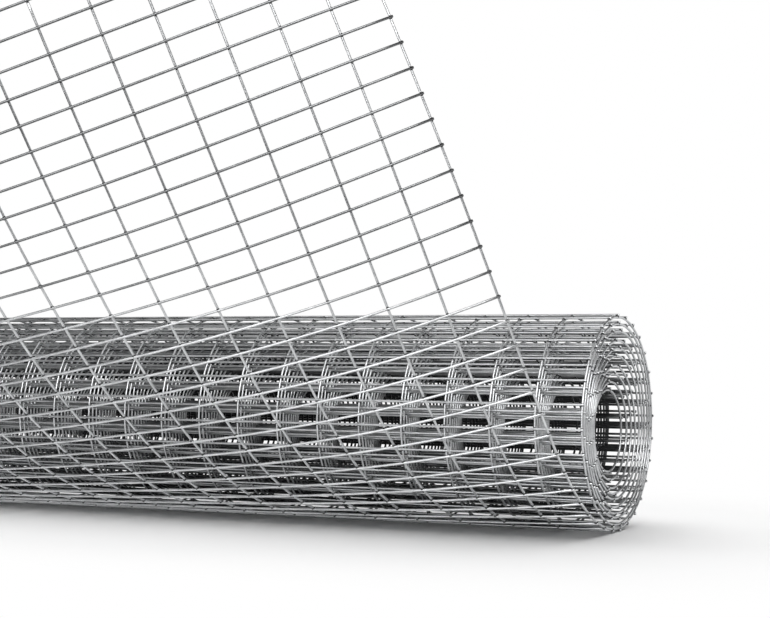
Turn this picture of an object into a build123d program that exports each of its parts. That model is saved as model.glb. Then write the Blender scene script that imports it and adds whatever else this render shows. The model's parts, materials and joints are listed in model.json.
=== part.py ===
from build123d import *
import math
import os

os.makedirs("parts", exist_ok=True)

# Driving dimensions in millimetres, and counts
fence_width = 900  # between the two edge wires of the sheet, which is the roll's length
mesh_length = 50  # between the ring wires, along the roll
mesh_width = 25  # between the long wires that lie along the roll
wire_diameter = 2.5
wire_overhang = 2  # how far a wire's cut end stands past the last weld
roll_diameter = 229
bore_diameter = 82
turns = 9
groove_depth = 12  # of the gap between turns, cut into each end
loose_rows = 31  # long wires in the loose end
cone_reach = 272  # from the sheet's right edge to the tip of the cone the loose end bends on
bend_radius = 178  # of that cone at the right edge
seat_gap = 0.3  # between the roll and the cut faces of the loose end's wires
strip_gap = 0.2  # between the cut faces of the loose end's strips

# Shares and counts that shape the sheet and the roll
weld_share = 0.2  # how far the wires sink into each other at a weld
first_row_share = 0.75  # of a mesh, from the parting line to the first long wire
turn_sides = 18  # straight stretches in each turn of the gap
relief_share = 0.125  # of a turn, over which the roll gives way under the loose end
strips = 6  # of the loose end, parted along the straight lines that it bends about
slight_bend = 0.8  # in degrees, under which a bar's corner is too shallow for a mitre
bend_columns = (0.25, 1.25, 2.25, 3.25, 5.25, 7.25, 10.25, 13.25)  # meshes where long wires bend
bend_rows = (1, 2, 3, 4, 5, 6, 7, 8, 10, 12, 14, 16, 20, 24, 28)  # meshes where rings bend

# Derived sizes
half_width = fence_width / 2
columns = round(fence_width / mesh_length)
roll_radius = roll_diameter / 2
bore_radius = bore_diameter / 2
bar_side = wire_diameter * math.sqrt(math.pi) / 2  # a square bar as heavy as the round wire
bar_half = bar_side / math.sqrt(2)
weld_offset = wire_diameter * (1 - weld_share) / 2
layer = 2 * (weld_offset + bar_half)
turn_pitch = (roll_radius - bore_radius - layer) / turns
sheet_radius = roll_radius - layer / 2
half_length = half_width + wire_overhang
sheet_end = (loose_rows - 1 + first_row_share) * mesh_width + wire_overhang

# The loose end bends on a circular cone that lies on the floor along the roll's lowest line
cone_slope = cone_reach / bend_radius
cone_gain = math.hypot(1, cone_slope)
cone_tip = Vector(half_width + cone_reach, 0, -sheet_radius)
cone_axis = Axis(Vector(0, 0, 0), Vector(-cone_slope, 0, 1))


def on_cone(across, along, lift):
    """A point of the bent sheet: across from its right edge, along from the parting line."""
    reach = cone_reach + across
    turn = math.degrees(cone_gain * math.atan2(along, reach))
    ruling = Vector(-math.hypot(reach, along), 0, 0).rotate(cone_axis, turn)
    return cone_tip + ruling + Vector(0, 0, lift).rotate(cone_axis, turn)


sheet_edge = fence_width + wire_overhang
stops_across = [-wire_overhang, *(mesh_length * n for n in bend_columns), sheet_edge]
stops_along = [seat_gap, *(mesh_width * n for n in bend_rows), sheet_end]


def between(stops, value):
    """The two stops on either side of a value, and the value's share of the way."""
    place = max(n for n, stop in enumerate(stops[:-1]) if stop <= value)
    low, high = stops[place], stops[place + 1]
    return low, high, (value - low) / (high - low)


def sheet(across, along, lift):
    """A point of the sheet with flat patches between the stops, so bars run straight there."""
    left, right, share = between(stops_across, across)
    low, high, rise = between(stops_along, along)
    near = on_cone(left, low, lift) * (1 - share) + on_cone(right, low, lift) * share
    far = on_cone(left, high, lift) * (1 - share) + on_cone(right, high, lift) * share
    return near * (1 - rise) + far * rise


def bar(points, outward):
    """A four-sided bar along a bent line, one of its edges facing out of the sheet."""
    steps = [after - before for before, after in zip(points, points[1:])]
    bends = [first.get_angle(second) for first, second in zip(steps, steps[1:])]
    corner = Transition.RIGHT if min(bends, default=0) > slight_bend else Transition.TRANSFORMED
    with BuildLine(mode=Mode.PRIVATE) as path:
        Polyline(*points)
    with BuildSketch(Plane(points[0], outward, steps[0]), mode=Mode.PRIVATE) as section:
        Rectangle(bar_side, bar_side, rotation=45)
    return sweep(section.sketch, path.line, transition=corner, mode=Mode.PRIVATE)


def long_wire(along, low, high):
    """A stretch of a wire along the roll, on the sheet's outer side."""
    stops = [low, *(stop for stop in stops_across if low < stop < high), high]
    points = [sheet(across, along, -weld_offset) for across in stops]
    return bar(points, points[0] - sheet(low, along, weld_offset))


def ring_wire(across, low, high):
    """A stretch of a wire that goes around the roll, on the sheet's inner side."""
    stops = [low, *(stop for stop in stops_along if low < stop < high), high]
    points = [sheet(across, along, weld_offset) for along in stops]
    return bar(points, points[0] - sheet(across, low, -weld_offset))


def stretch(places, welded, ends, pitch):
    """The ends of a wire that carries these welds: halfway to the next weld or the sheet's edge."""
    reach = (pitch - strip_gap) / 2
    low = ends[0] if places[0] == welded[0] else places[0] - reach
    high = ends[-1] if places[-1] == welded[-1] else places[-1] + reach
    return low, high


# The loose end, in nearly flat strips whose wires meet halfway between welds
rings = [mesh_length * n for n in range(columns + 1)]
rows = [mesh_width * (n + first_row_share) for n in range(loose_rows)]
widest_angle = math.atan2(rows[-1], cone_reach)
welds = {strip: [] for strip in range(strips)}
for across in rings:
    for along in rows:
        angle = math.atan2(along, cone_reach + across)
        welds[min(int(strips * angle / widest_angle), strips - 1)].append((across, along))

for strip in range(strips):
    bars = []
    for across in sorted({weld[0] for weld in welds[strip]}):
        places = [weld[1] for weld in welds[strip] if weld[0] == across]
        bars.append(ring_wire(across, *stretch(places, rows, stops_along, mesh_width)))
    for along in sorted({weld[1] for weld in welds[strip]}):
        places = [weld[0] for weld in welds[strip] if weld[1] == along]
        bars.append(long_wire(along, *stretch(places, rings, stops_across, mesh_length)))
    with BuildPart() as loose_end:
        add(bars)
    loose_end.part.label = f"loose_end_{strip + 1}"
    export_step(loose_end.part, f"parts/loose_end_{strip + 1}.step")

# The wound roll, turned about its axis, with a step at its lowest line where the sheet parts
relief_angle = math.tau * relief_share


def under_sheet(angle, depth):
    """A point this far inside the roll's outside, at an angle from its lowest line."""
    radius = roll_radius - depth
    return (-radius * math.sin(angle), -radius * math.cos(angle))


step_foot = under_sheet(0, turn_pitch)
relief_middle = under_sheet(relief_angle / 2, turn_pitch / 2)
relief_end = under_sheet(relief_angle, 0)
below = -roll_radius - layer


def gap_wall(depth):
    """One wall of the gap between turns, wound inwards from the roll's lowest line."""
    wall = []
    for corner in range(turn_sides * (turns - 1) + 1):
        radius = roll_radius - depth - turn_pitch * corner / turn_sides
        angle = math.tau * corner / turn_sides
        wall.append((radius * math.sin(angle), -radius * math.cos(angle)))
    return wall


with BuildPart() as roll:
    with BuildSketch(Plane.XZ):
        with Locations((0, (bore_radius + roll_radius) / 2)):
            Rectangle(2 * half_length, roll_radius - bore_radius)
    revolve(axis=Axis.X)
    with BuildSketch(Plane.YZ):
        with BuildLine():
            ThreePointArc(step_foot, relief_middle, relief_end)
            Polyline(relief_end, (relief_end[0], below), (0, below), step_foot)
        make_face()
    extrude(amount=2 * half_length, both=True, mode=Mode.SUBTRACT)
    for end in (Plane.YZ.offset(half_length), Plane.YZ.offset(groove_depth - half_length)):
        with BuildSketch(end):
            with BuildLine():
                Polyline(*gap_wall(layer), *reversed(gap_wall(turn_pitch)), close=True)
            make_face()
        extrude(amount=-groove_depth, mode=Mode.SUBTRACT)
roll.part.label = "roll"
export_step(roll.part, "parts/roll.step")
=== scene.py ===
"""A roll of galvanised welded wire fencing, wound wire by wire, with its loose end bent up in front."""

import json
import math

import bpy
import numpy as np
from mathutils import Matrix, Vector


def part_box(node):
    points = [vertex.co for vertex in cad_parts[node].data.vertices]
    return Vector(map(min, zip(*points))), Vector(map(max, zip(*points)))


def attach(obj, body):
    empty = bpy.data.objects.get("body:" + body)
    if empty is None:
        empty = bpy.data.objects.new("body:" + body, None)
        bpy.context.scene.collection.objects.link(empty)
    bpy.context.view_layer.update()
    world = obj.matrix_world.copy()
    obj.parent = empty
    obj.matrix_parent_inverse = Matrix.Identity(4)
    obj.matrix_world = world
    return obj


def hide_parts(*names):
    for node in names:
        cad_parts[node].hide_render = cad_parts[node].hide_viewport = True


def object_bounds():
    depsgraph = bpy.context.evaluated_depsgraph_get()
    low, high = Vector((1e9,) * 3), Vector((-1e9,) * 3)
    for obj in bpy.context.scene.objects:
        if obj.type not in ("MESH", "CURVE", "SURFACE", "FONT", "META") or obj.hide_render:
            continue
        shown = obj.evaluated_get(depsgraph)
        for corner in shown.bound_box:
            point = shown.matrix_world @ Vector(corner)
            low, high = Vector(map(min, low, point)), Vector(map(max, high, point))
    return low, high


bl_info = {
    "name": "Roll of wire fencing",
    "version": (1, 0, 0),
    "blender": (4, 5, 0),
    "location": "View3D > Sidebar > Fencing",
    "description": "Winds a roll of welded wire mesh and dresses it in galvanised wire",
    "category": "Object",
}

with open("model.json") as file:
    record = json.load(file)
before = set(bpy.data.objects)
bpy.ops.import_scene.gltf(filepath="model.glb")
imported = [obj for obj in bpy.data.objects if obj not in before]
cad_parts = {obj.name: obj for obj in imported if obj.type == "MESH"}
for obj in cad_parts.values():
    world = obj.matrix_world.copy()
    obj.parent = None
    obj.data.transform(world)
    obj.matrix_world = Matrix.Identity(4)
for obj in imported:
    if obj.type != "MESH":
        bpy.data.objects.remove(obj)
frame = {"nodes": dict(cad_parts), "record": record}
CAD_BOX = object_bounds()

# What the solids give: the roll's place and size, and the size of its open core
MM = 0.001
BODY = "root"
ROLL_LOW, ROLL_HIGH = (Vector(corner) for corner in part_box("roll"))
ROLL_RADIUS = (ROLL_HIGH.y - ROLL_LOW.y) / 2
ROLL_LENGTH = ROLL_HIGH.x - ROLL_LOW.x
BORE_RADIUS = frame["record"]["mounts"][0]["dims"]["r_mm"] * MM
LOOSE_STRIPS = sorted(node for node in frame["nodes"] if node.startswith("loose_end"))
FLOOR_Z = CAD_BOX[0][2]

# How finely the sheet is measured and drawn, and how its turns stray from a true spiral
MEASURES = 200  # in each turn
LOOSE_STEPS = 2  # straight steps in each mesh of the loose end
SOFT_START = 0.1  # of a turn, over which the winding starts to sink
WAVER_SHARE = 0.5  # of the gap between turns
WAVER_RATES = (3.1, 0.83)  # waves in each turn, the quick ones swelling with the slow ones
WAVER_START = 0.7
SIDEWAYS_SHARE = 0.3  # of the slack, by which the core has come forwards
SLIDE_POWER = 3  # with which the slide inwards gathers in the innermost turns

# Wire ends, weld beads and the mottle of the zinc, in shares
DOME = 0.35  # height of a cut end, of the wire's radius
BEAD_SIZE = (0.82, 0.75, 0.91)  # half a bead along the roll, across it and out of the sheet
BEAD_SIDES = 6
CLOUD_SHARE = 0.6  # of the mottle that comes in clouds, the rest in grains
MOTTLE_BAND = (0.3, 0.62)  # mottle at which the zinc is dull, and at which it is bright
WELD_SHADE_BAND = (0.45, 0.85)  # grain at which a weld bead is near-black painted shade, and at which it is dull zinc

# Painted light and shade in the zinc's colour: how much daylight it paints into the roll, from nought,
# near-black painted shade, to one, full colour; heights and radii are shares of its radius
TOP_LIGHT = 0.6  # what height makes up for on sides that face away
FACING_BAND = (-0.1, 0.6)  # how far a side turns outwards, from painted shade to full colour
ENDWISE_BAND = (0.15, 0.4)  # how far a side turns to the roll's ends, from sheltered to open
UPPER_BAND = (-0.4, 0.15)  # heights between which such sides grow brighter
UPPER_LEAST = 0.3
CORE_LIGHT = 0.2  # at the core
INWARD_POWER = 1.5  # with which light falls from the outside to the core
END_LIGHT = 0.7  # what the roll's ends get more than its middle
END_GLOW = 0.12  # share of that which reaches the shaded sides
NEAR_END_BAND = (0.465, 0.495)  # from the roll's middle, in shares of its length, where its end begins
NEAR_END_LIGHT = 0.8
LOOSE_RADIUS = 1.1  # past which the sheet lies in the open
RAISED_SHADE_BAND = (0.9, 1.2)  # heights between which raised long wires go darker, a painted shade

# The stage
FLOOR_SHADE = 0.98  # the darker tone of the floor beside the lighter
FLOOR_BAND = (0.3, 0.7)  # mottle at which the floor is darker, and at which it is lighter
BACKDROP_TOP = (0.5, 0.25)  # how far up the wires mirror a white backdrop, from none of it to all
BACKDROP_SIDE = (-0.1, 0.4)  # how far to the back they do
SENSOR_WIDTH = 36  # of the camera, in millimetres


class FencingMesh(bpy.types.PropertyGroup):
    """The sheet of welded mesh."""

    width: bpy.props.FloatProperty(
        name="Width", description="Between the sheet's two edge wires", default=0.9, unit="LENGTH"
    )
    mesh_length: bpy.props.FloatProperty(
        name="Mesh length", description="Between ring wires", default=0.05, unit="LENGTH"
    )
    mesh_width: bpy.props.FloatProperty(
        name="Mesh width", description="Between long wires", default=0.025, unit="LENGTH"
    )
    wire: bpy.props.FloatProperty(
        name="Wire", description="Diameter of the zinc-coated wire", default=0.0025, unit="LENGTH"
    )
    weld_share: bpy.props.FloatProperty(
        name="Weld depth", description="Share of the wire that sinks in at a weld", default=0.2
    )
    sides: bpy.props.IntProperty(name="Sides", description="Sides of each wire", default=8, min=5)


class FencingRoll(bpy.types.PropertyGroup):
    """How the sheet is wound."""

    nesting: bpy.props.FloatProperty(
        name="Nesting",
        description="What each turn's shortening lacks of two meshes",
        default=0.005174,
        unit="LENGTH",
    )
    loosening: bpy.props.FloatProperty(
        name="Loosening",
        description="Growth of the gap with each turn inwards",
        default=0.000143,
        unit="LENGTH",
    )
    steps: bpy.props.IntProperty(name="Steps", description="Straight steps in each turn", default=52)
    telescope: bpy.props.FloatProperty(
        name="Telescope", description="How far the core has slid in", default=0.013, unit="LENGTH"
    )
    slack: bpy.props.FloatProperty(
        name="Slack",
        description="How far the core hangs off the middle",
        default=0.006976,
        unit="LENGTH",
    )
    loose_turns: bpy.props.FloatVectorProperty(
        name="Loose turns",
        description="Turns below which the winding has gone slack",
        size=2,
        default=(2.29, 5.466),
    )
    full_turn: bpy.props.FloatProperty(
        name="Full turn", description="Share of the first turn that lies at full size", default=0.4628
    )
    inner_end: bpy.props.FloatProperty(
        name="Inner end", description="Share of a turn that reaches into the core", default=0.57
    )
    first_row_share: bpy.props.FloatProperty(
        name="First row", description="Share of a mesh from the parting line", default=0.75
    )


class FencingLooseEnd(bpy.types.PropertyGroup):
    """The cone that the loose end bends on."""

    rows: bpy.props.IntProperty(name="Rows", description="Long wires in the loose end", default=31)
    cone_reach: bpy.props.FloatProperty(
        name="Cone reach", description="From the right edge to the tip", default=0.272, unit="LENGTH"
    )
    bend_radius: bpy.props.FloatProperty(
        name="Bend radius", description="Radius at the right edge", default=0.178, unit="LENGTH"
    )


class FencingFinish(bpy.types.PropertyGroup):
    """The colours of the zinc, and the painted shade mixed into them."""

    bright: bpy.props.FloatVectorProperty(
        name="Bright zinc", description="Clean coat", subtype="COLOR", default=(0.74, 0.75, 0.76)
    )
    dull: bpy.props.FloatVectorProperty(
        name="Dull zinc", description="Weathered coat", subtype="COLOR", default=(0.46, 0.47, 0.48)
    )
    # Painted shade: the near-black that the zinc's colour is mixed towards inside the roll, where shade
    # falls.
    painted_shade: bpy.props.FloatVectorProperty(
        name="Sheltered zinc",
        description="Coat gone dark in the roll",
        subtype="COLOR",
        default=(0.02, 0.021, 0.022),
    )
    # Painted shade on the long wires that stand up past the roll, darkening them with height.
    raised_painted_shade: bpy.props.FloatProperty(
        name="Dulling", description="Share of the brightness that raised long wires lose", default=0.68
    )
    # Painted shade: the near-black of the weld beads, for the shade where the wires cross.
    weld_shade: bpy.props.FloatVectorProperty(
        name="Weld", description="Darkened coat at a weld", subtype="COLOR", default=(0.02, 0.02, 0.021)
    )


class FencingStage(bpy.types.PropertyGroup):
    """The camera, the plain floor and the light on it."""

    lens: bpy.props.FloatProperty(name="Lens", description="Focal length in mm", default=80.0)
    distance: bpy.props.FloatProperty(
        name="Distance", description="From the camera to its target", default=1.918, unit="LENGTH"
    )
    azimuth: bpy.props.FloatProperty(
        name="Azimuth", description="Towards the right end", default=0.469, subtype="ANGLE"
    )
    elevation: bpy.props.FloatProperty(
        name="Elevation", description="Above the target", default=-0.0163, subtype="ANGLE"
    )
    target: bpy.props.FloatVectorProperty(
        name="Target",
        description="Along the roll from its right edge wire, and above the floor",
        size=2,
        default=(-0.2737, 0.2351),
        unit="LENGTH",
    )
    floor: bpy.props.FloatVectorProperty(
        name="Floor", description="Pale floor", subtype="COLOR", default=(0.9, 0.9, 0.9)
    )
    floor_low: bpy.props.FloatVectorProperty(
        name="Floor corner",
        description="Near left corner of the floor",
        size=2,
        default=(-1.1, -0.7),
        unit="LENGTH",
    )
    floor_high: bpy.props.FloatVectorProperty(
        name="Floor far corner",
        description="Far right corner of the floor",
        size=2,
        default=(1.0, 0.7),
        unit="LENGTH",
    )
    fade: bpy.props.FloatVectorProperty(
        name="Fade",
        description="How far from the roll the floor starts and ends turning white",
        size=2,
        default=(0.12, 0.5),
        unit="LENGTH",
    )
    overhead: bpy.props.FloatProperty(
        name="Overhead", description="How bright the room is above the white backdrop", default=0.02
    )
    sun: bpy.props.FloatProperty(
        name="Sun", description="Strength of the light on the floor", default=3.5
    )
    sun_spread: bpy.props.FloatProperty(
        name="Sun spread", description="How soft the shadow is", default=1.5, subtype="ANGLE"
    )
    sun_from: bpy.props.FloatVectorProperty(
        name="Sun from", description="Where that light stands", default=(-0.1, 0.35, 1.0), unit="LENGTH"
    )


class Socket:
    """A shader socket whose arithmetic adds Math nodes."""

    def __init__(self, tree, socket):
        self.tree, self.socket = tree, socket

    def node(self, kind, settings=None, output=0, **inputs):
        """Add any node: its settings first, then the values or links of its sockets."""
        made = self.tree.nodes.new(kind)
        for name, value in (settings or {}).items():
            if name == "stops":
                ramp = made.color_ramp.elements
                while len(ramp) < len(value):
                    ramp.new(0.5)
                for element, (place, shade) in zip(ramp, value):
                    element.position, element.color = place, (*shade, 1)
            else:
                setattr(made, name, value)
        for name, value in inputs.items():
            slot = self.slot_of(made.inputs, name)
            if isinstance(value, Socket):
                self.tree.links.new(value.socket, slot)
            else:
                slot.default_value = value
        place = f"o{output}" if isinstance(output, int) else output
        return Socket(self.tree, self.slot_of(made.outputs, place))

    @staticmethod
    def slot_of(slots, name):
        """A socket by its place, such as i0 or o0, by its identifier, or by its name."""
        if name[1:].isdigit():
            return slots[int(name[1:])]
        known = {slot.identifier: slot for slot in slots}
        return known[name] if name in known else slots[name.replace("_", " ")]

    def _math(self, operation, first, second=0.0):
        return self.node("ShaderNodeMath", {"operation": operation}, i0=first, i1=second)

    def __add__(self, other):
        return self._math("ADD", self, other)

    __radd__ = __add__

    def __rsub__(self, other):
        return self._math("SUBTRACT", other, self)

    def __mul__(self, other):
        return self._math("MULTIPLY", self, other)

    __rmul__ = __mul__

    def __pow__(self, other):
        return self._math("POWER", self, other)

    def larger(self, other):
        """The larger of this and another value."""
        return self._math("MAXIMUM", self, other)

    def smaller(self, other):
        """The smaller of this and another value."""
        return self._math("MINIMUM", self, other)

    def unsigned(self):
        """This value without its sign."""
        return self._math("ABSOLUTE", self)

    def ramp(self, low, high, bottom=0.0, top=1.0):
        """A climb from bottom to top while this goes from low to high, level outside that."""
        limits = {"From_Min": low, "From_Max": high, "To_Min": bottom, "To_Max": top}
        return self.node("ShaderNodeMapRange", Value=self, **limits)

    def vector(self, operation, other=(0, 0, 0), output="Vector"):
        """Vector arithmetic with another vector."""
        return self.node("ShaderNodeVectorMath", {"operation": operation}, output, i0=self, i1=other)

    def part(self, axis):
        """One of this vector's three parts."""
        return self.node("ShaderNodeSeparateXYZ", output=axis, Vector=self)


def new_material(name):
    """An empty node material, with its shader and a socket to start expressions from."""
    material = bpy.data.materials.new(name)
    material.use_nodes = True
    tree = material.node_tree
    tree.nodes.clear()
    shader = tree.nodes.new("ShaderNodeBsdfPrincipled")
    output = tree.nodes.new("ShaderNodeOutputMaterial")
    tree.links.new(shader.outputs["BSDF"], output.inputs["Surface"])
    return material, shader, Socket(tree, tree.nodes.new("ShaderNodeNewGeometry").outputs["Position"])


def feed(shader, **values):
    """Link or set sockets of the shader."""
    for name, value in values.items():
        slot = shader.inputs[name.replace("_", " ")]
        if isinstance(value, Socket):
            value.tree.links.new(value.socket, slot)
        else:
            slot.default_value = value


def painted_light_mask(position):
    """How much painted light the zinc's colour gets: nought, painted shade, on sides that face the
    roll's shaded inside, one outside.
    """
    normal = position.node("ShaderNodeNewGeometry", output="Normal")
    from_axis = position.vector("MULTIPLY", (0, 1, 1))
    radius = from_axis.vector("LENGTH", output="Value")
    height = position.part("Z")
    along = position.part("X").unsigned()

    outward = normal.vector("DOT_PRODUCT", from_axis.vector("NORMALIZE"), output="Value")
    facing = (outward + height.ramp(0, ROLL_RADIUS, top=TOP_LIGHT)).ramp(*FACING_BAND)
    upper = height.ramp(*(share * ROLL_RADIUS for share in UPPER_BAND), bottom=UPPER_LEAST)
    endwise = normal.part("X").unsigned().ramp(*ENDWISE_BAND) * upper
    outer = radius.ramp(BORE_RADIUS, ROLL_RADIUS)
    depth = (CORE_LIGHT + (1 - CORE_LIGHT) * outer**INWARD_POWER).larger(endwise)

    end_light = along.ramp(0, ROLL_LENGTH / 2, top=END_LIGHT)
    near_end = along.ramp(*(share * ROLL_LENGTH for share in NEAR_END_BAND), top=NEAR_END_LIGHT)
    wound = (facing * (depth + end_light)).larger(near_end + END_GLOW * end_light)
    loose = radius.ramp(ROLL_RADIUS, LOOSE_RADIUS * ROLL_RADIUS)
    return wound.larger(loose).smaller(1.0)


def zinc_material(finish, name="galvanised_zinc", raised_painted_shade=0.0):
    """Galvanised wire: zinc with soft cloudy patches, a fine grain and drawing marks, its colour
    painted darker as shade inside the roll and on raised long wires.
    """
    material, shader, position = new_material(name)
    clouds = position.node("ShaderNodeTexNoise", Vector=position, Scale=55.0, Detail=4.0)
    grains = position.node("ShaderNodeTexNoise", Vector=position, Scale=900.0, Detail=2.0)
    stretched = position.vector("MULTIPLY", (25.0, 700.0, 700.0))
    marks = position.node("ShaderNodeTexNoise", Vector=stretched, Scale=1.0, Detail=3.0)
    mottle = clouds * CLOUD_SHARE + grains * (1 - CLOUD_SHARE)
    stops = list(zip(MOTTLE_BAND, (finish.dull, finish.bright)))
    tone = position.node("ShaderNodeValToRGB", {"stops": stops}, Fac=mottle)
    # Painted shade on raised long wires: their colour goes darker with height past the roll.
    raised = position.part("Z").ramp(*(share * ROLL_RADIUS for share in RAISED_SHADE_BAND), top=raised_painted_shade)
    # Painted shade: the zinc's colour is mixed towards near-black where little painted light reaches
    # inside the roll, and made darker on raised long wires.
    tone = position.node(
        "ShaderNodeMix",
        {"data_type": "RGBA"},
        output="Result_Color",
        Factor_Float=painted_light_mask(position) * (1 - raised),
        A_Color=(*finish.painted_shade, 1),
        B_Color=tone,
    )
    bump = position.node("ShaderNodeBump", Height=marks + grains, Strength=0.12, Distance=0.0003)
    feed(shader, Base_Color=tone, Roughness=0.3 + mottle * 0.2, Metallic=1.0, Normal=bump)
    return material


def raised_zinc_material(finish):
    """The same zinc, with painted shade that makes the long wires that stand up past the roll darker.
    """
    return zinc_material(finish, "raised_zinc", finish.raised_painted_shade)


def weld_material(finish):
    """The weld: near-black painted shade where the two wires were pressed together, grained with dull
    zinc and rough.
    """
    material, shader, position = new_material("burnt_weld")
    grains = position.node("ShaderNodeTexNoise", Vector=position, Scale=700.0, Detail=3.0)
    stops = list(zip(WELD_SHADE_BAND, (finish.weld_shade, finish.dull)))
    tone = position.node("ShaderNodeValToRGB", {"stops": stops}, Fac=grains)
    bump = position.node("ShaderNodeBump", Height=grains, Strength=0.4, Distance=0.0004)
    feed(shader, Base_Color=tone, Roughness=0.5 + grains * 0.3, Metallic=0.0, Normal=bump)
    return material


def mirrored(socket):
    """One for what metal and glass show, and nought for what lights the scene or is seen straight."""
    path = "ShaderNodeLightPath"
    return socket.node(path, output="Is Glossy Ray") + socket.node(path, output="Is Transmission Ray")


def seen(socket):
    """One for what the camera sees, straight or mirrored, and nought for what lights the scene."""
    return socket.node("ShaderNodeLightPath", output="Is Camera Ray") + mirrored(socket)


def floor_material(stage):
    """The pale floor: it keeps the shadow near the roll, and turns into white backdrop farther off."""
    material, shader, position = new_material("pale_floor")
    mottle = position.node("ShaderNodeTexNoise", Vector=position, Scale=6.0, Detail=3.0)
    shade = tuple(channel * FLOOR_SHADE for channel in stage.floor)
    stops = list(zip(FLOOR_BAND, (shade, stage.floor)))
    tone = position.node("ShaderNodeValToRGB", {"stops": stops}, Fac=mottle)
    feed(shader, Base_Color=tone, Roughness=0.85)
    place = position.vector("ABSOLUTE")
    past = place.vector("SUBTRACT", (ROLL_LENGTH / 2, 0, -FLOOR_Z)).vector("MAXIMUM")
    reach = past.vector("LENGTH", output="Value")
    far = position.node(
        "ShaderNodeMapRange",
        {"interpolation_type": "SMOOTHSTEP"},
        Value=reach,
        From_Min=stage.fade[0],
        From_Max=stage.fade[1],
    )
    tree = position.tree
    white = position.node("ShaderNodeEmission", Color=(1, 1, 1, 1), Strength=1.0)
    plain = Socket(tree, shader.outputs["BSDF"])
    mixed = position.node("ShaderNodeMixShader", i0=far * seen(position), i1=plain, i2=white)
    output = next(node for node in tree.nodes if node.type == "OUTPUT_MATERIAL")
    tree.links.new(mixed.socket, output.inputs["Surface"])
    return material


class Sheet:
    """Where each point of the sheet lies, wound up or bent, with the outward side there."""

    def __init__(self, scene):
        mesh, roll, loose = scene.fencing_mesh, scene.fencing_roll, scene.fencing_loose_end
        self.mesh, self.roll, self.loose = mesh, roll, loose
        self.overhang = (ROLL_LENGTH - mesh.width) / 2
        self.weld_offset = mesh.wire * (1 - mesh.weld_share) / 2
        # half across the corners of the square bar that stands in for the wire in the solids
        bar_half = mesh.wire * math.sqrt(math.pi / 8)
        layer = 2 * (self.weld_offset + bar_half)
        self.radius = ROLL_RADIUS - layer / 2
        self.pitch = (2 * mesh.mesh_width - roll.nesting) / math.tau
        # the turns after which the winding has sunk through the roll's wall
        wall = ROLL_RADIUS - BORE_RADIUS - layer
        turns = (math.sqrt(self.pitch**2 + 2 * roll.loosening * wall) - self.pitch) / roll.loosening
        turns += roll.full_turn + roll.inner_end
        self.full_angle = math.tau * turns
        self.angles = np.linspace(0, self.full_angle, MEASURES * math.ceil(turns))
        self.lengths = np.cumsum((self.radius - self.depth(self.angles)) * np.gradient(self.angles))
        self.right = mesh.width / 2
        self.rings = np.arange(0, mesh.width + mesh.mesh_length / 2, mesh.mesh_length)
        first = roll.first_row_share * mesh.mesh_width
        self.loose_rows = first + mesh.mesh_width * np.arange(loose.rows)
        count = int((self.lengths[-1] + first) / mesh.mesh_width)
        self.wound_rows = mesh.mesh_width * np.arange(1, count + 1) - first

    def depth(self, angle):
        """How deep in the roll the sheet lies once it has been wound through an angle."""
        past = angle / math.tau - self.roll.full_turn
        turns = (past + np.sqrt(past**2 + SOFT_START**2)) / 2
        return turns * (self.pitch + self.roll.loosening * turns / 2)

    def angle_at(self, length):
        """The winding angle at a length along the sheet from the parting line."""
        return np.interp(length, self.lengths, self.angles)

    def wound_point(self, across, angle):
        """A point of the wound sheet and its outward side, across from the right edge."""
        share = angle / self.full_angle
        quick, slow = (angle * rate for rate in WAVER_RATES)
        waver = np.sin(quick + WAVER_START) * np.sin(slow) * share * (1 - share)
        radius = self.radius - self.depth(angle) + WAVER_SHARE * self.pitch * waver
        slack = sum(eased(angle / math.tau - turn) for turn in self.roll.loose_turns)
        slack = slack * self.roll.slack / len(self.roll.loose_turns)
        out = np.stack([np.zeros_like(angle), np.sin(angle), -np.cos(angle)], -1)
        slide = self.roll.telescope * share**SLIDE_POWER
        middle = np.stack([self.right - across - slide, -SIDEWAYS_SHARE * slack, -slack], -1)
        return middle + out * radius[..., None], out

    def loose_point(self, across, along):
        """A point of the loose end and its outward side, along from the parting line."""
        reach = self.loose.cone_reach + across
        slope = self.loose.cone_reach / self.loose.bend_radius
        gain = math.hypot(1, slope)
        turn = gain * np.arctan2(along, reach)
        axis = np.array([-slope, 0, 1]) / gain
        tip = np.array([self.right + self.loose.cone_reach, 0, -self.radius])
        ruling = turned(np.array([-1.0, 0, 0]), axis, turn)
        out = turned(np.array([0, 0, -1.0]), axis, turn)
        return tip + ruling * np.hypot(reach, along)[..., None], out


def eased(value):
    """A smooth step from nought to one."""
    value = np.clip(value, 0, 1)
    return value * value * (3 - 2 * value)


def turned(vector, axis, angle):
    """A vector turned about an axis by each of many angles."""
    angle = np.asarray(angle)[..., None]
    across = np.cross(axis, vector)
    along = axis * np.dot(axis, vector)
    return (vector - along) * np.cos(angle) + across * np.sin(angle) + along


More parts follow.
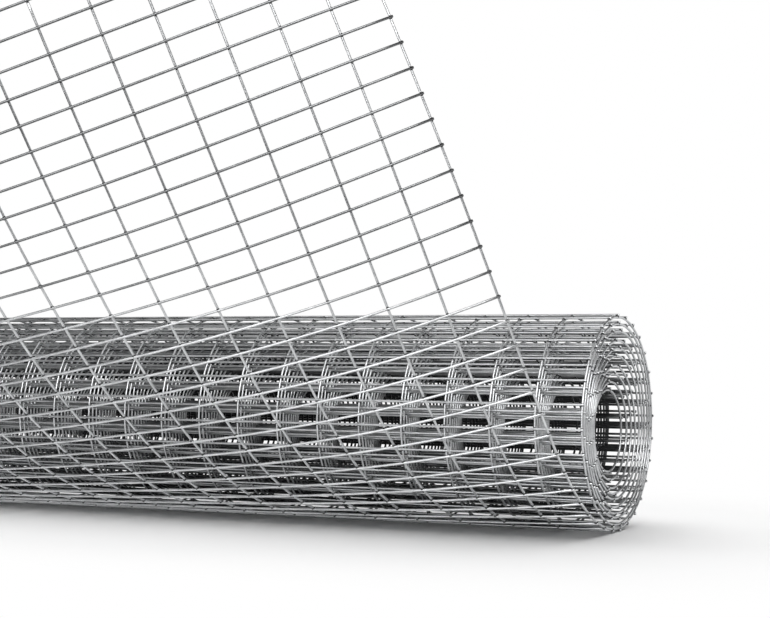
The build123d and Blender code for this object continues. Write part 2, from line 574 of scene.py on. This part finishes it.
def tube_mesh(paths, outs, radius, sides):
    """Round wires with domed cut ends along many paths of equal point count."""
    wires, count, _ = paths.shape
    along = np.gradient(paths, axis=1)
    along /= np.linalg.norm(along, axis=-1, keepdims=True)
    side = np.cross(along, outs)
    side /= np.linalg.norm(side, axis=-1, keepdims=True)
    out = np.cross(side, along)
    angle = np.arange(sides) * math.tau / sides
    circle = np.cos(angle)[:, None] * side[:, :, None] + np.sin(angle)[:, None] * out[:, :, None]
    points = paths[:, :, None] + radius * circle
    dome = radius * DOME
    tips = np.stack([paths[:, 0] - along[:, 0] * dome, paths[:, -1] + along[:, -1] * dome], 1)
    ring = np.arange(wires * count * sides).reshape(wires, count, sides)
    after = np.roll(ring, -1, axis=2)
    quads = np.stack([ring[:, :-1], after[:, :-1], after[:, 1:], ring[:, 1:]], -1).reshape(-1, 4)
    tip = wires * count * sides + np.arange(wires * 2).reshape(wires, 2, 1)
    heads = np.stack([after[:, 0], ring[:, 0], np.broadcast_to(tip[:, 0], (wires, sides))], -1)
    tails = np.stack([ring[:, -1], after[:, -1], np.broadcast_to(tip[:, 1], (wires, sides))], -1)
    caps = np.concatenate([heads.reshape(-1, 3), tails.reshape(-1, 3)])
    return np.concatenate([points.reshape(-1, 3), tips.reshape(-1, 3)]), [quads, caps]


def bead_mesh(places, outs, ways, wire):
    """Weld beads: low lumps squashed between the two wires."""
    side = np.cross(ways, outs)
    length, breadth, height = (share * wire for share in BEAD_SIZE)
    corner = np.arange(BEAD_SIDES)
    after = (corner + 1) % BEAD_SIDES
    angle = (corner * math.tau / BEAD_SIDES)[:, None]
    ring = np.cos(angle) * ways[:, None] * length + np.sin(angle) * side[:, None] * breadth
    low = places[:, None] + ring - outs[:, None] * height / 2
    high = places[:, None] + ring + outs[:, None] * height / 2
    poles = np.stack([places - outs * height, places + outs * height], 1)
    points = np.concatenate([low, high, poles], 1)
    base = np.arange(len(places))[:, None, None] * points.shape[1]
    above, above_after = corner + BEAD_SIDES, after + BEAD_SIDES
    foot = np.full(BEAD_SIDES, 2 * BEAD_SIDES)
    quads = (base + np.stack([corner, after, above_after, above], -1)).reshape(-1, 4)
    under = (base + np.stack([after, corner, foot], -1)).reshape(-1, 3)
    over = (base + np.stack([above, above_after, foot + 1], -1)).reshape(-1, 3)
    return points.reshape(-1, 3), [quads, np.concatenate([under, over])]


def new_piece(name, shape, material):
    """A mesh object from points and faces, smooth, riding on the roll's body."""
    points, faces = shape
    mesh = bpy.data.meshes.new(name)
    mesh.from_pydata(points.tolist(), [], [face for block in faces for face in block.tolist()])
    mesh.shade_smooth()
    mesh.materials.append(material)
    piece = bpy.data.objects.new(name, mesh)
    bpy.context.scene.collection.objects.link(piece)
    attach(piece, BODY)
    return piece


MATERIALS = {
    "galvanised_zinc": zinc_material,
    "raised_zinc": raised_zinc_material,
    "burnt_weld": weld_material,
}


def material_of(name):
    """A material by name, made the first time it is asked for."""
    return bpy.data.materials.get(name) or MATERIALS[name](bpy.context.scene.fencing_finish)


def add_wires(name, paths, outs, sheet, material="galvanised_zinc"):
    """A group of like wires as one piece."""
    shape = tube_mesh(paths, outs, sheet.mesh.wire / 2, sheet.mesh.sides)
    return new_piece(name, shape, material_of(material))


def add_welds(name, points, outs, ways, sheet):
    """The weld beads of a stretch of sheet as one piece."""
    places, outs, ways = (array.reshape(-1, 3) for array in (points, outs, ways))
    shape = bead_mesh(places, outs, ways, sheet.mesh.wire)
    return new_piece(name, shape, material_of("burnt_weld"))


class OBJECT_OT_wound_turns(bpy.types.Operator):
    """Wind the ring wires, lay the long wires over them and weld their crossings."""

    bl_idname = "object.fencing_wound_turns"
    bl_label = "Wound turns"

    def execute(self, context):
        sheet = Sheet(context.scene)
        steps = round(sheet.roll.steps * sheet.full_angle / math.tau) + 1
        angle = np.linspace(0, sheet.full_angle, steps)
        across, turn = np.meshgrid(sheet.rings, angle, indexing="ij")
        points, outs = sheet.wound_point(across, turn)
        ring = add_wires("ring_wires", points - outs * sheet.weld_offset, outs, sheet)
        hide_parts("roll")

        edge = sheet.mesh.width + sheet.overhang
        stops = np.array([-sheet.overhang, *sheet.rings, edge])
        across, turn = np.meshgrid(stops, sheet.angle_at(sheet.wound_rows), indexing="xy")
        points, outs = sheet.wound_point(across, turn)
        add_wires("long_wires", points + outs * sheet.weld_offset, outs, sheet)
        ways = np.zeros_like(outs)
        ways[..., 0] = 1
        add_welds("welds", points[:, 1:-1], outs[:, 1:-1], ways[:, 1:-1], sheet)
        return {"FINISHED"}


class OBJECT_OT_loose_end(bpy.types.Operator):
    """Bend the loose end up in front of the roll, wire by wire, and weld its crossings."""

    bl_idname = "object.fencing_loose_end"
    bl_label = "Loose end"

    def execute(self, context):
        sheet = Sheet(context.scene)
        last = sheet.loose_rows[-1] + sheet.overhang
        along = np.linspace(0, last, LOOSE_STEPS * sheet.loose.rows + 1)
        across, place = np.meshgrid(sheet.rings, along, indexing="ij")
        points, outs = sheet.loose_point(across, place)
        ring = add_wires("loose_ring_wires", points - outs * sheet.weld_offset, outs, sheet)
        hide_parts(*LOOSE_STRIPS)

        edge = sheet.mesh.width + sheet.overhang
        stops = np.linspace(-sheet.overhang, edge, LOOSE_STEPS * len(sheet.rings))
        across, place = np.meshgrid(stops, sheet.loose_rows, indexing="xy")
        points, outs = sheet.loose_point(across, place)
        add_wires("loose_long_wires", points + outs * sheet.weld_offset, outs, sheet, "raised_zinc")

        across, place = np.meshgrid(sheet.rings, sheet.loose_rows, indexing="ij")
        points, outs = sheet.loose_point(across, place)
        ways = np.gradient(points, axis=0)
        ways /= np.linalg.norm(ways, axis=-1, keepdims=True)
        add_welds("loose_welds", points, outs, ways, sheet)
        return {"FINISHED"}


# The softboxes that the wire mirrors: name, brightness beside white paper, size and place in metres
SOFTBOXES = (
    ("left_softbox", 3.6, (1.5, 2.0), (0.0, -2.4, 0.65)),
    ("right_softbox", 6.5, (1.8, 1.9), (1.38, -1.76, 1.69)),
    ("top_softbox", 1.3, (1.8, 1.0), (-0.9, -0.2, 2.1)),
)


class OBJECT_OT_stage(bpy.types.Operator):
    """Set the pale floor, the soft lights and the camera."""

    bl_idname = "object.fencing_stage"
    bl_label = "Stage"

    def execute(self, context):
        scene = context.scene
        stage = scene.fencing_stage
        (left, near), (right, far) = stage.floor_low, stage.floor_high
        corners = [(left, near), (right, near), (right, far), (left, far)]
        mesh = bpy.data.meshes.new("floor")
        mesh.from_pydata([(*corner, FLOOR_Z) for corner in corners], [], [(0, 1, 2, 3)])
        mesh.materials.append(floor_material(stage))
        floor = bpy.data.objects.new("floor", mesh)
        scene.collection.objects.link(floor)

        world = bpy.data.worlds.new("studio")
        scene.world = world
        world.use_nodes = True
        tree = world.node_tree
        way = Socket(tree, tree.nodes.new("ShaderNodeTexCoord").outputs["Generated"])
        dark = (stage.overhead,) * 3
        low = way.part("Z").ramp(*BACKDROP_TOP)
        back = way.part("Y").ramp(*BACKDROP_SIDE)
        backdrop = way.node("ShaderNodeLightPath", output="Is Camera Ray") + mirrored(way) * low * back
        room = way.node("ShaderNodeValToRGB", {"stops": [(0.0, dark), (1.0, (1, 1, 1))]}, Fac=backdrop)
        tree.links.new(room.socket, tree.nodes["Background"].inputs["Color"])
        tree.nodes["Background"].inputs["Strength"].default_value = 1.0

        sun = bpy.data.lights.new("sun", "SUN")
        sun.energy = stage.sun
        sun.angle = stage.sun_spread
        self.hang(scene, sun, Vector(stage.sun_from)).visible_glossy = False
        for name, glow, size, place in SOFTBOXES:
            softbox = bpy.data.lights.new(name, "AREA")
            softbox.shape = "RECTANGLE"
            softbox.size, softbox.size_y = size
            softbox.energy = glow * math.pi * size[0] * size[1]
            self.hang(scene, softbox, Vector(place)).visible_diffuse = False

        target = Vector((scene.fencing_mesh.width / 2 + stage.target[0], 0, FLOOR_Z + stage.target[1]))
        azimuth, elevation = stage.azimuth, stage.elevation
        ground = Vector((math.sin(azimuth), -math.cos(azimuth), 0)) * math.cos(elevation)
        camera = bpy.data.cameras.new("camera")
        camera.lens = stage.lens
        camera.sensor_width = SENSOR_WIDTH
        viewer = bpy.data.objects.new("camera", camera)
        viewer.location = target + stage.distance * (ground + Vector((0, 0, math.sin(elevation))))
        viewer.rotation_euler = (target - viewer.location).to_track_quat("-Z", "Y").to_euler()
        scene.collection.objects.link(viewer)
        scene.camera = viewer
        scene.view_settings.view_transform = "Standard"
        return {"FINISHED"}

    @staticmethod
    def hang(scene, light, place):
        """Hang a lamp at a place and turn it to the roll's middle."""
        lamp = bpy.data.objects.new(light.name, light)
        lamp.location = place
        lamp.rotation_euler = (-place).to_track_quat("-Z", "Y").to_euler()
        scene.collection.objects.link(lamp)
        return lamp


class VIEW3D_PT_fencing(bpy.types.Panel):
    """The pieces of the roll, in the order they are made."""

    bl_label = "Roll of wire fencing"
    bl_space_type = "VIEW_3D"
    bl_region_type = "UI"
    bl_category = "Fencing"

    def draw(self, context):
        for operator in OPERATORS:
            self.layout.operator(operator.bl_idname)


GROUPS = {
    "fencing_mesh": FencingMesh,
    "fencing_roll": FencingRoll,
    "fencing_loose_end": FencingLooseEnd,
    "fencing_finish": FencingFinish,
    "fencing_stage": FencingStage,
}
OPERATORS = (OBJECT_OT_wound_turns, OBJECT_OT_loose_end, OBJECT_OT_stage)


def register():
    for cls in (*GROUPS.values(), *OPERATORS, VIEW3D_PT_fencing):
        bpy.utils.register_class(cls)
    for name, group in GROUPS.items():
        setattr(bpy.types.Scene, name, bpy.props.PointerProperty(type=group))


def unregister():
    for name in GROUPS:
        delattr(bpy.types.Scene, name)
    for cls in (VIEW3D_PT_fencing, *reversed(OPERATORS), *GROUPS.values()):
        bpy.utils.unregister_class(cls)


def main():
    register()
    bpy.ops.object.fencing_wound_turns()
    bpy.ops.object.fencing_loose_end()
    bpy.ops.object.fencing_stage()


if __name__ == "__main__":
    main()
